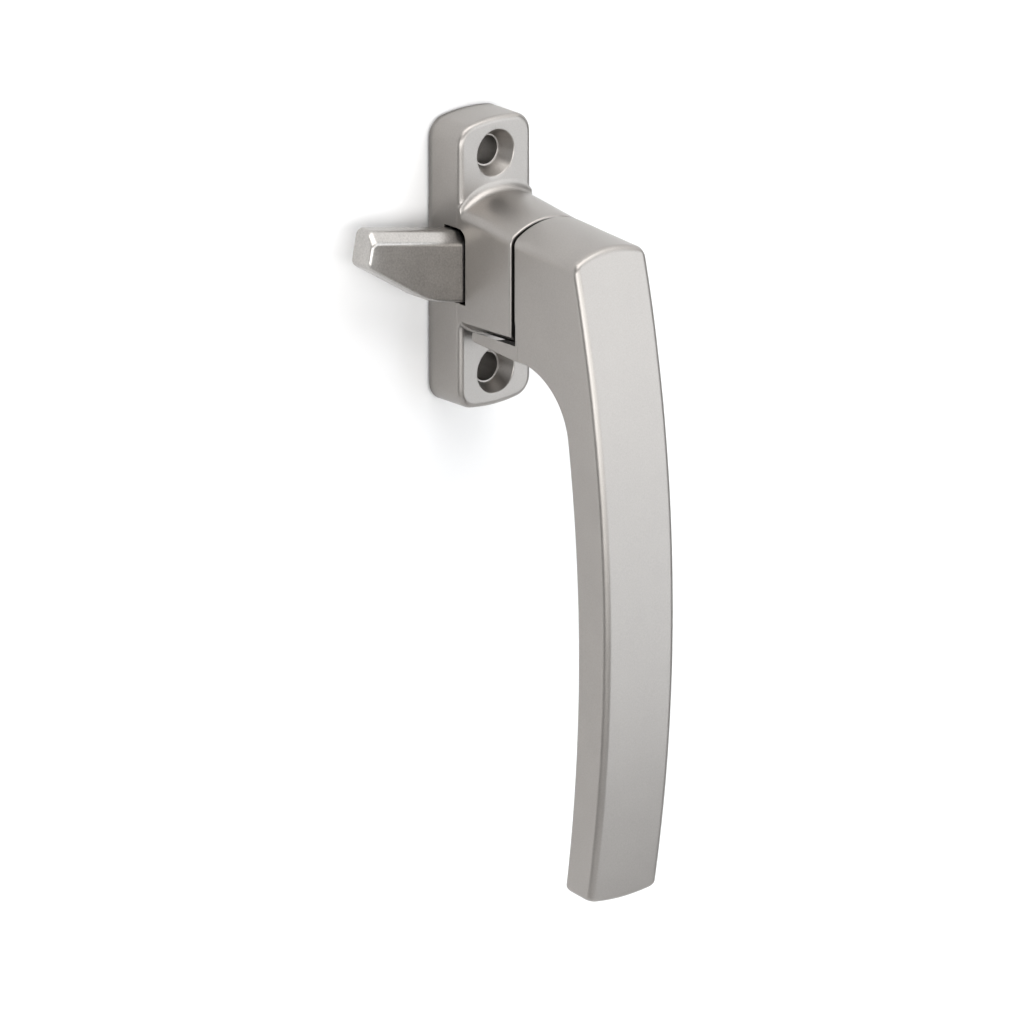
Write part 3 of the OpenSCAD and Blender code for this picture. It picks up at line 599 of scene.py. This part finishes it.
class HANDLE_OT_cast_lever(bpy.types.Operator):
    """Models the cast lever: hub, skirt, neck and bowed grip in one skin"""
    bl_idname = "handle.cast_lever"
    bl_label = "Cast Lever"

    def execute(self, context):
        sizes = context.scene.handle_lever
        base = context.scene.handle_base
        drive = context.scene.handle_drive
        low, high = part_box("lever")
        self.sizes, self.base = sizes, base
        self.half = high.x
        self.reach = -low.z
        self.hub_depth = axis_depth()
        self.root_r = sizes.skirt_inner_r + sizes.skirt_root_t
        self.neck_drop = sqrt(self.root_r ** 2 - self.half ** 2)
        self.find_neck()
        piece = self.skin()
        combine(piece, self.skirt(), "UNION")
        self.cut_socket(piece, drive)
        smooth(piece)
        finish_piece(piece, "cast_lever", "lever", "lever", satin_paint())
        return {"FINISHED"}

    def front_at(self, z):
        """Depth of the front at a height."""
        s = self.sizes
        return s.grip_depth - s.front_bow_r + sqrt(s.front_bow_r ** 2 - (z + s.bow_drop) ** 2)

    def back_at(self, z):
        """Depth of the grip's back at a height."""
        r = self.sizes.back_bow_r
        return self.back_centre.x + sqrt(r * r - (z + self.sizes.back_bow_drop) ** 2)

    def find_neck(self):
        """The neck's arc touches the hub's underside and runs into the grip's back."""
        s = self.sizes
        self.back_centre = Vector((s.grip_depth - s.grip_t - s.back_bow_r, -s.back_bow_drop))
        z = -self.neck_drop - s.neck_r
        reach = sqrt((s.back_bow_r - s.neck_r) ** 2 - (z + s.back_bow_drop) ** 2)
        self.neck_centre = Vector((self.back_centre.x + reach, z))
        run = self.neck_centre - self.back_centre
        self.neck_end_a = atan2(run.y, run.x)

    def half_at(self, z):
        """Half the width at a height."""
        share = min(1.0, max(0.0, -z / self.reach))
        return self.half - (self.half - self.sizes.end_w / 2) * share

    def top_at(self, x, outline):
        """Height of an arched top at a distance from the middle."""
        if abs(x) < outline.bend_x:
            return outline.apex - outline.arch_r + sqrt(outline.arch_r ** 2 - x * x)
        off = abs(x) - outline.corner_x
        return outline.corner_z + sqrt(max(0.0, outline.corner_r ** 2 - off * off))

    def across_face(self, half, r):
        """Places across a face with rounded edges: (distance from the middle, set back)."""
        spread = (0, 0.14, 0.28, 0.42, 0.55, 0.66, 0.76, 0.85, 0.92, 0.97)
        side = [(t * (half - r), 0.0) for t in spread]
        side += [(half - r + r * sin(a), r * (1 - cos(a))) for a in quarter(8)]
        return [(-x, back) for x, back in reversed(side[1:])] + side

    def hub_ring(self, t, set_back):
        """Ring of the hub: t runs from its arched top down to the neck."""
        crown = Outline(self.half, self.sizes.crown, self.sizes.crown_r, self.base.shoulder_r)
        joint = Outline(self.half, self.base.joint_crown, self.base.arch_r, self.base.shoulder_r)
        front, back = [], []
        for x, inset in self.across_face(self.half, self.sizes.front_edge_r):
            z = mix(self.top_at(x, crown), HUB_FOOT, t)
            front.append(Vector((x, -(self.front_at(z) - inset - set_back), z)))
        for x, inset in self.across_face(self.half, self.sizes.joint_edge_r):
            z = mix(self.top_at(x, joint), HUB_FOOT, t)
            back.append(Vector((x, -(self.hub_depth + inset), z)))
        return front + back[::-1]

    def grip_ring(self, front, back, shrink, bulge):
        """Ring of the grip between a front point and a back point, each (depth, height)."""
        along = (front - back).normalized()
        half = self.half_at(front.y) - shrink
        rows = []
        for start, way, r in ((front, -1, self.sizes.front_edge_r),
                              (back, 1, self.sizes.back_edge_r)):
            row = []
            for x, inset in self.across_face(half, r):
                q = start + along * way * (inset + shrink)
                row.append(Vector((x, -q.x, q.y - bulge * (1 - (x / half) ** 2))))
            rows.append(row)
        return rows[0] + rows[1][::-1]

    def neck_at(self, turn):
        """Place on the neck's arc in one direction from its centre: (depth, height)."""
        return self.neck_centre + self.sizes.neck_r * Vector((cos(turn), sin(turn)))

    def bowed_ring(self, z, shrink, bulge):
        """Ring of the grip below the neck, its front at a height."""
        back_z = z + BACK_LIFT
        return self.grip_ring(Vector((self.front_at(z), z)),
                              Vector((self.back_at(back_z), back_z)), shrink, bulge)

    def skin(self):
        """The lever's skin, ring by ring from the hub's top to the free end."""
        s = self.sizes
        hub_h = s.crown - HUB_FOOT
        r = s.front_edge_r
        neck_steps, grip_steps = 24, 40
        rings = [self.hub_ring(r * (1 - cos(turn)) / hub_h, r * (1 - sin(turn)))
                 for turn in quarter(6)]
        rings += [self.hub_ring(t, 0) for t in (0.2, 0.35, 0.5, 0.7, 1)]
        neck_top = 3 * MM - self.neck_drop
        neck_end = self.neck_at(self.neck_end_a).y
        for i in range(neck_steps + 1):
            t = i / neck_steps
            z = mix(neck_top, neck_end, t)
            back = self.neck_at(mix(pi / 2, self.neck_end_a, t))
            rings.append(self.grip_ring(Vector((self.front_at(z), z)), back, 0, 0))
        end_z = s.end_bulge - self.reach
        for i in range(1, grip_steps + 1):
            t = i / grip_steps
            rings.append(self.bowed_ring(mix(neck_end, end_z + r, t), 0, s.end_bulge * t ** 2))
        rings += [self.bowed_ring(end_z + r * (1 - sin(turn)), r * (1 - cos(turn)), s.end_bulge)
                  for turn in quarter(6, 1)]
        piece = loft("cast_lever", rings, fill=False)
        self.close_ends(piece, len(rings) - 1, len(rings[0]))
        return settle(piece)

    def close_ends(self, piece, last, count):
        """Bridges the front row of the first and the last ring to its back row."""
        for number in (0, last):
            bpy.ops.mesh.select_all(action="DESELECT")
            mesh = bmesh.from_edit_mesh(piece.data)
            place, level = (mesh.verts.layers.int[layer] for layer in LAYERS)
            for edge in mesh.edges:
                a, b = edge.verts
                if a[level] == number == b[level]:
                    rows = {a[place] < count // 2, b[place] < count // 2}
                    edge.select_set(len(rows) == 1)
            bmesh.update_edit_mesh(piece.data)
            bpy.ops.mesh.bridge_edge_loops()

    def skirt(self):
        """The skirt round the boss's underside and the round underside of the hub."""
        s = self.sizes
        root_depth = self.neck_centre.x + 0.65 * s.neck_r
        edge_r = s.skirt_inner_r + s.skirt_edge_t
        lip_r = 0.45 * s.skirt_edge_t
        profile = [(0, self.hub_depth), (s.skirt_inner_r, self.hub_depth)]
        for centre, start in ((s.skirt_inner_r + lip_r, pi), (edge_r - lip_r, 1.5 * pi)):
            profile += [(centre + lip_r * cos(start + a),
                         s.skirt_edge_depth + lip_r + lip_r * sin(start + a))
                        for a in quarter(6)]
        profile += [(self.root_r, self.hub_depth), (self.root_r, root_depth), (0, root_depth)]
        steps = 96
        rings = [[Vector((r * cos(a), -d, r * sin(a))) for r, d in profile]
                 for a in (pi + pi * i / steps for i in range(steps + 1))]
        piece = settle(loft("skirt", rings))
        half = self.half - s.skirt_inset
        for side in (-1, 1):
            trim(piece, (side * half, 0, 0), (side, 0, 0))
        top = -4 * MM
        return trim(piece, (0, 0, top), (0, 0, 1))

    def cut_socket(self, piece, drive):
        """The washers' recess, the square socket and the bore of the grub screw."""
        seat = self.hub_depth + drive.recess_t
        half = drive.socket / 2
        cut(piece, turned([(drive.recess_r, self.hub_depth - PAST), (drive.recess_r, seat)]))
        cut(piece, block((-half, -seat - drive.socket_l, -half), (half, -seat + PAST, half)))
        low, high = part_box("lever_grub_screw")
        deselect()
        bpy.ops.mesh.primitive_cylinder_add(vertices=64, radius=drive.grub_r, depth=self.root_r,
                                            location=(0, (low.y + high.y) / 2,
                                                      -self.root_r / 2 - PAST))
        cut(piece, settle(bpy.context.object))


class HANDLE_OT_tongue(bpy.types.Operator):
    """Models the tongue's rounded nose and joins it to the tail and rack from the solid"""
    bl_idname = "handle.tongue"
    bl_label = "Tongue"

    def execute(self, context):
        sizes = context.scene.handle_tongue
        piece = self.tail(context)
        combine(piece, self.nose(sizes), "UNION")
        smooth(piece)
        finish_piece(piece, "rounded_tongue", "tongue", "tongue", bare_zinc())
        return {"FINISHED"}

    def tail(self, context):
        """A merged copy of the solid, cut off where the nose comes out of the tail."""
        piece = frame["nodes"]["tongue"].copy()
        piece.data = piece.data.copy()
        piece.parent = None
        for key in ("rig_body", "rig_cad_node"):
            del piece[key]
        context.scene.collection.objects.link(piece)
        edit_all(piece)
        bpy.ops.mesh.customdata_custom_splitnormals_clear()
        bpy.ops.mesh.remove_doubles(threshold=0.002 * MM)
        bpy.ops.mesh.dissolve_limited(angle_limit=radians(1))
        bpy.ops.object.mode_set(mode="OBJECT")
        return trim(piece, (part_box("tongue_glide")[0].x, 0, 0), (-1, 0, 0))

    def nose(self, sizes):
        """The nose, ring by ring from its back to its front face."""
        back, front = sizes.depth - sizes.thickness, sizes.depth
        # The bevel's roundings start this far before its corners and take up this much depth
        flat = sizes.bevel_r * tan(pi / 8)
        turn = sizes.bevel_r * sin(pi / 4)
        bend = front - sizes.bevel - flat
        depths = [back + sizes.back_r * (1 - cos(a)) for a in quarter(4)]
        depths += [bend + turn * k / 5 for k in range(6)]
        depths += [front - sizes.edge_r]
        depths += [front - sizes.edge_r * (1 - sin(a)) for a in quarter(9, 1)]
        rings = []
        for depth in depths:
            top = self.rounding(back + sizes.back_r - depth, sizes.back_r)
            edge = top + self.rounding(depth - front + sizes.edge_r, sizes.edge_r)
            if depth > front - sizes.bevel_r + turn:
                past = depth - front + sizes.bevel_r
                top = sizes.bevel + flat - sqrt(max(0.0, sizes.bevel_r ** 2 - past ** 2))
            elif depth > bend + turn:
                top = depth - front + sizes.bevel
            elif depth > bend:
                top = self.rounding(depth - bend, sizes.bevel_r)
            rings.append(self.outline(sizes, depth, edge, top))
        return settle(loft("nose", rings))

    def rounding(self, past, r):
        """How far a rounded edge has drawn in, a distance past its start."""
        return r - sqrt(max(0.0, r * r - past * past)) if past > 0 else 0.0

    def outline(self, sizes, depth, edge, top):
        """The nose seen from the room, its top and its other edges moved inwards."""
        lean = slide_lean()
        slope = sizes.slope
        tip, high, low = -sizes.reach + edge, sizes.top - top, -sizes.drop + edge
        tip_low = sizes.top - sizes.tip_h + edge * (1 - sin(slope)) / cos(slope)
        r = sizes.tip_r - edge
        r_bend = sizes.bend_r - edge
        reach = r * tan((pi / 2 - slope) / 2)
        bend_u = tip + (tip_low - low) / tan(slope) + r_bend * tan(slope / 2)
        points = [(NOSE_ROOT, high)]
        points += self.corner(tip + r, high - r, r, pi / 2, pi, 7)
        points += self.corner(tip + r, tip_low + reach, r, pi, 1.5 * pi - slope, 7)
        points += self.corner(bend_u, low + r_bend, r_bend, 1.5 * pi - slope, 1.5 * pi, 12)
        points.append((NOSE_ROOT, low))
        return [Vector((u * cos(lean) + v * sin(lean), -depth, v * cos(lean) - u * sin(lean)))
                for u, v in points]

    def corner(self, u, v, r, start, end, steps):
        """Points round a corner, from one direction to another."""
        return [(u + r * cos(a), v + r * sin(a))
                for a in (mix(start, end, i / steps) for i in range(steps + 1))]


# Materials


def new_material(name):
    """A material with its nodes and links."""
    material = bpy.data.materials.new(name)
    material.use_nodes = True
    return material, material.node_tree.nodes, material.node_tree.links


def add_node(nodes, kind, values):
    """A new node with some of its inputs set by name."""
    node = nodes.new(kind)
    for name, value in values.items():
        node.inputs[name].default_value = value
    return node


def math_node(nodes, links, operation, *values):
    """The output of a Math node whose inputs are other nodes' outputs or plain numbers."""
    node = nodes.new("ShaderNodeMath")
    node.operation = operation
    for socket, value in zip(node.inputs, values):
        if isinstance(value, bpy.types.NodeSocket):
            links.new(value, socket)
        else:
            socket.default_value = value
    return node.outputs[0]


def float_sockets(group, inputs, outputs):
    """Makes a node group's plain number sockets: inputs with defaults, and outputs."""
    for name, default in inputs.items():
        socket = group.interface.new_socket(name=name, in_out="INPUT",
                                            socket_type="NodeSocketFloat")
        socket.default_value = default
    for name in outputs:
        group.interface.new_socket(name=name, in_out="OUTPUT", socket_type="NodeSocketFloat")


def grain_group():
    """Fine grain of a cast or coated surface: a colour factor, a mask and a height."""
    if "Surface grain" in bpy.data.node_groups:
        return bpy.data.node_groups["Surface grain"]
    group = bpy.data.node_groups.new("Surface grain", "ShaderNodeTree")
    group.interface.new_socket(name="Vector", in_out="INPUT", socket_type="NodeSocketVector")
    float_sockets(group, {"Grain scale": 4000.0, "Cloud scale": 120.0, "Contrast": 0.1},
                  ("Shade", "Mask", "Height"))
    nodes, links = group.nodes, group.links
    start = nodes.new("NodeGroupInput")
    end = nodes.new("NodeGroupOutput")
    grain = add_node(nodes, "ShaderNodeTexNoise", {"Detail": 2.0})
    cloud = add_node(nodes, "ShaderNodeTexNoise", {"Detail": 3.0})
    for noise, scale in ((grain, "Grain scale"), (cloud, "Cloud scale")):
        links.new(start.outputs["Vector"], noise.inputs["Vector"])
        links.new(start.outputs[scale], noise.inputs["Scale"])
    both = add_node(nodes, "ShaderNodeMix", {"Factor": 0.35})
    links.new(grain.outputs["Fac"], both.inputs["A"])
    links.new(cloud.outputs["Fac"], both.inputs["B"])
    centred = math_node(nodes, links, "SUBTRACT", both.outputs["Result"], 0.5)
    shade = math_node(nodes, links, "MULTIPLY_ADD", centred, start.outputs["Contrast"], 1.0)
    links.new(shade, end.inputs["Shade"])
    links.new(both.outputs["Result"], end.inputs["Mask"])
    links.new(grain.outputs["Fac"], end.inputs["Height"])
    return group


def grained(name, colour_name, metallic, rough, swing, scale, contrast, bump_mm):
    """A finish with fine grain in its colour and relief, and with painted shade that darkens its
    colour in its crevices.
    """
    found = bpy.data.materials.get(name)
    if found:
        return found
    material, nodes, links = new_material(name)
    shader = nodes["Principled BSDF"]
    shader.inputs["Metallic"].default_value = metallic
    coords = nodes.new("ShaderNodeTexCoord")
    grain = nodes.new("ShaderNodeGroup")
    grain.node_tree = grain_group()
    grain.inputs["Grain scale"].default_value = scale
    grain.inputs["Contrast"].default_value = contrast
    links.new(coords.outputs["Object"], grain.inputs["Vector"])
    # Painted shade: ambient occlusion darkens the colour in crevices, recesses and gaps between
    # parts
    openness = add_node(nodes, "ShaderNodeAmbientOcclusion", {"Distance": PAINTED_SHADE_REACH})
    openness.samples = 8
    low, high = PAINTED_SHADE_OPEN
    depth = add_node(nodes, "ShaderNodeMapRange",
                     {"From Min": low, "From Max": high, "To Min": PAINTED_SHADE_DARKEST})
    links.new(openness.outputs["AO"], depth.inputs["Value"])
    # The grain's tone times the painted crevice shade gives the factor on the finish's colour
    shade = math_node(nodes, links, "MULTIPLY", grain.outputs["Shade"], depth.outputs["Result"])
    tint = nodes.new("ShaderNodeVectorMath")
    tint.operation = "SCALE"
    tint.inputs[0].default_value = getattr(bpy.context.scene.handle_finishes, colour_name)
    links.new(shade, tint.inputs["Scale"])
    links.new(tint.outputs["Vector"], shader.inputs["Base Color"])
    gloss = add_node(nodes, "ShaderNodeMapRange",
                     {"To Min": rough - swing, "To Max": rough + swing})
    links.new(grain.outputs["Mask"], gloss.inputs["Value"])
    links.new(gloss.outputs["Result"], shader.inputs["Roughness"])
    bump = add_node(nodes, "ShaderNodeBump", {"Strength": 1.0, "Distance": bump_mm * MM})
    links.new(grain.outputs["Height"], bump.inputs["Height"])
    links.new(bump.outputs["Normal"], shader.inputs["Normal"])
    return material


def satin_paint():
    """Silver-grey metallic coating of the castings."""
    return grained("Paint finish", "paint", metallic=1.0, rough=0.38, swing=0.05,
                   scale=3500, contrast=0.30, bump_mm=0.008)


def bare_zinc():
    """Bare die-cast metal of the tongue, lightly blasted."""
    return grained("Zinc finish", "zinc", metallic=1.0, rough=0.34, swing=0.08,
                   scale=2600, contrast=0.90, bump_mm=0.020)


def turned_steel():
    """Zinc-plated turned steel of the small inner pieces."""
    return grained("Steel finish", "steel", metallic=1.0, rough=0.30, swing=0.05,
                   scale=5000, contrast=0.12, bump_mm=0.003)


def black_steel():
    """Blackened steel of the grub screw."""
    return grained("Black finish", "black", metallic=0.9, rough=0.42, swing=0.06,
                   scale=4000, contrast=0.2, bump_mm=0.004)


def sintered_steel():
    """Grey sintered steel of the pinion, with open pores."""
    return grained("Sintered finish", "sinter", metallic=1.0, rough=0.5, swing=0.08,
                   scale=2600, contrast=0.4, bump_mm=0.015)


def white_acetal():
    """Off-white moulded plastic of the glide, the bush and the washer."""
    return grained("Acetal finish", "acetal", metallic=0.0, rough=0.42, swing=0.05,
                   scale=1800, contrast=0.05, bump_mm=0.006)


class HANDLE_OT_finish_nodes(bpy.types.Operator):
    """Gives the pieces that stay as they are their finishes"""
    bl_idname = "handle.finish_nodes"
    bl_label = "Finish Inner Pieces"

    def execute(self, context):
        finishes = {"lever_grub_screw": black_steel(), "pinion": sintered_steel(),
                    "back_plate": turned_steel(), "base_body": satin_paint(),
                    "lever": satin_paint(), "tongue": bare_zinc()}
        finishes.update({name: turned_steel() for name in STEEL_NODES})
        finishes.update({name: white_acetal() for name in ACETAL_NODES})
        for name, material in finishes.items():
            node = frame["nodes"][name]
            node.data.materials.clear()
            node.data.materials.append(material)
        return {"FINISHED"}


# Studio


def studio_material():
    """Pale wall and floor: they keep shadows, and are clear from behind and to what touches."""
    material, nodes, links = new_material("studio")
    nodes.clear()
    out = nodes.new("ShaderNodeOutputMaterial")
    diffuse = add_node(nodes, "ShaderNodeBsdfDiffuse",
                       {"Color": (*bpy.context.scene.handle_finishes.studio, 1)})
    clear = nodes.new("ShaderNodeBsdfTransparent")
    path = nodes.new("ShaderNodeLightPath")
    facing = nodes.new("ShaderNodeNewGeometry")
    near = math_node(nodes, links, "LESS_THAN", path.outputs["Ray Length"], CONTACT)
    unseen = math_node(nodes, links, "MAXIMUM", facing.outputs["Backfacing"], near)
    either = nodes.new("ShaderNodeMixShader")
    links.new(unseen, either.inputs[0])
    links.new(diffuse.outputs[0], either.inputs[1])
    links.new(clear.outputs[0], either.inputs[2])
    links.new(either.outputs[0], out.inputs["Surface"])
    return material


def direction(azimuth, elevation):
    """Unit vector at an azimuth from the front to the right and an elevation, in degrees."""
    a, e = radians(azimuth), radians(elevation)
    return Vector((sin(a) * cos(e), -cos(a) * cos(e), sin(e)))


def area_lamp(name, place, target, size, power, cool):
    """A soft rectangular lamp that faces a target, cooler or warmer than white."""
    data = bpy.data.lights.new(name, "AREA")
    data.shape = "RECTANGLE"
    data.size, data.size_y = size
    data.energy = power
    data.color = (1 - cool, 1, 1 + cool)
    lamp = bpy.data.objects.new(name, data)
    bpy.context.scene.collection.objects.link(lamp)
    lamp.location = place
    lamp.rotation_euler = (target - place).to_track_quat("-Z", "Y").to_euler()


class HANDLE_OT_studio(bpy.types.Operator):
    """Sets up the wall, the floor, the lamps and the camera"""
    bl_idname = "handle.studio"
    bl_label = "Studio"

    def execute(self, context):
        deselect()
        bpy.ops.mesh.primitive_plane_add(size=2 * STAGE_REACH, location=(0, WALL_Y, WALL_Z),
                                         rotation=(pi / 2, 0, 0))
        wall = context.object
        wall.name = "studio_wall"
        bpy.ops.mesh.primitive_plane_add(size=2 * STAGE_REACH,
                                         location=(0, WALL_Y - STAGE_REACH, FLOOR_Z))
        floor = context.object
        floor.name = "studio_floor"
        pale = studio_material()
        for surface in (wall, floor):
            apply_place(surface)
            surface.data.materials.append(pale)
        self.light(context)
        self.camera(context)
        return {"FINISHED"}

    def light(self, context):
        """The soft lamps, and a world that looks pale but lights little."""
        scene = context.scene
        scene.view_settings.view_transform = "Standard"
        world = scene.world or bpy.data.worlds.new("studio")
        scene.world = world
        world.use_nodes = True
        nodes, links = world.node_tree.nodes, world.node_tree.links
        shade = nodes["Background"]
        shade.inputs["Color"].default_value = (1, 1, 1, 1)
        rays = nodes.new("ShaderNodeLightPath").outputs
        straight = math_node(nodes, links, "MAXIMUM", rays["Is Camera Ray"],
                             rays["Is Glossy Ray"])
        seen = math_node(nodes, links, "MAXIMUM", straight, rays["Is Transmission Ray"])
        strength = add_node(nodes, "ShaderNodeMapRange",
                            {"To Min": WORLD_STRENGTH, "To Max": WORLD_SEEN})
        links.new(seen, strength.inputs["Value"])
        links.new(strength.outputs["Result"], shade.inputs["Strength"])
        middle = Vector(LAMP_TARGET)
        for name, (azimuth, elevation, distance, width, height, power, cool) in LAMPS.items():
            place = middle + distance * direction(azimuth, elevation)
            area_lamp(name, place, middle, (width, height), power, cool)

    def camera(self, context):
        """A long lens at the photograph's angle, so that the view is close to parallel."""
        image_w = IMAGE_PIXELS / PIXELS_PER_MM * MM
        data = bpy.data.cameras.new("camera")
        data.sensor_width = SENSOR_MM
        data.lens = data.sensor_width * CAMERA_DISTANCE / image_w
        data.clip_end = 20
        camera = bpy.data.objects.new("camera", data)
        context.scene.collection.objects.link(camera)
        back = direction(*VIEW)
        camera.location = Vector(CAMERA_TARGET) * MM + back * CAMERA_DISTANCE
        camera.rotation_euler = (-back).to_track_quat("-Z", "Y").to_euler()
        context.scene.camera = camera


class HANDLE_PT_panel(bpy.types.Panel):
    """Lists the steps that build the handle and its studio"""
    bl_idname = "HANDLE_PT_panel"
    bl_label = "Casement Window Handle"
    bl_space_type = "VIEW_3D"
    bl_region_type = "UI"
    bl_category = "Window Handle"

    def draw(self, context):
        for operator in OPERATORS:
            self.layout.operator(operator.bl_idname)


OPERATORS = (HANDLE_OT_studio, HANDLE_OT_finish_nodes, HANDLE_OT_cast_base,
             HANDLE_OT_cast_lever, HANDLE_OT_tongue)
GROUPS = {"handle_base": BaseSizes, "handle_drive": DriveSizes, "handle_lever": LeverSizes,
          "handle_tongue": TongueSizes, "handle_finishes": Finishes}
CLASSES = (*GROUPS.values(), *OPERATORS, HANDLE_PT_panel)


def register():
    """Registers the classes and hangs their sizes and colours on the scene."""
    for cls in CLASSES:
        bpy.utils.register_class(cls)
    for name, group in GROUPS.items():
        setattr(bpy.types.Scene, name, bpy.props.PointerProperty(type=group))


def unregister():
    """Takes away what register made."""
    for name in GROUPS:
        delattr(bpy.types.Scene, name)
    for cls in reversed(CLASSES):
        bpy.utils.unregister_class(cls)


def main():
    """Builds the handle and its studio."""
    register()
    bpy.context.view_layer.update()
    bpy.ops.handle.studio()
    bpy.ops.handle.finish_nodes()
    bpy.ops.handle.cast_base()
    bpy.ops.handle.cast_lever()
    bpy.ops.handle.tongue()


if __name__ == "__main__":
    main()
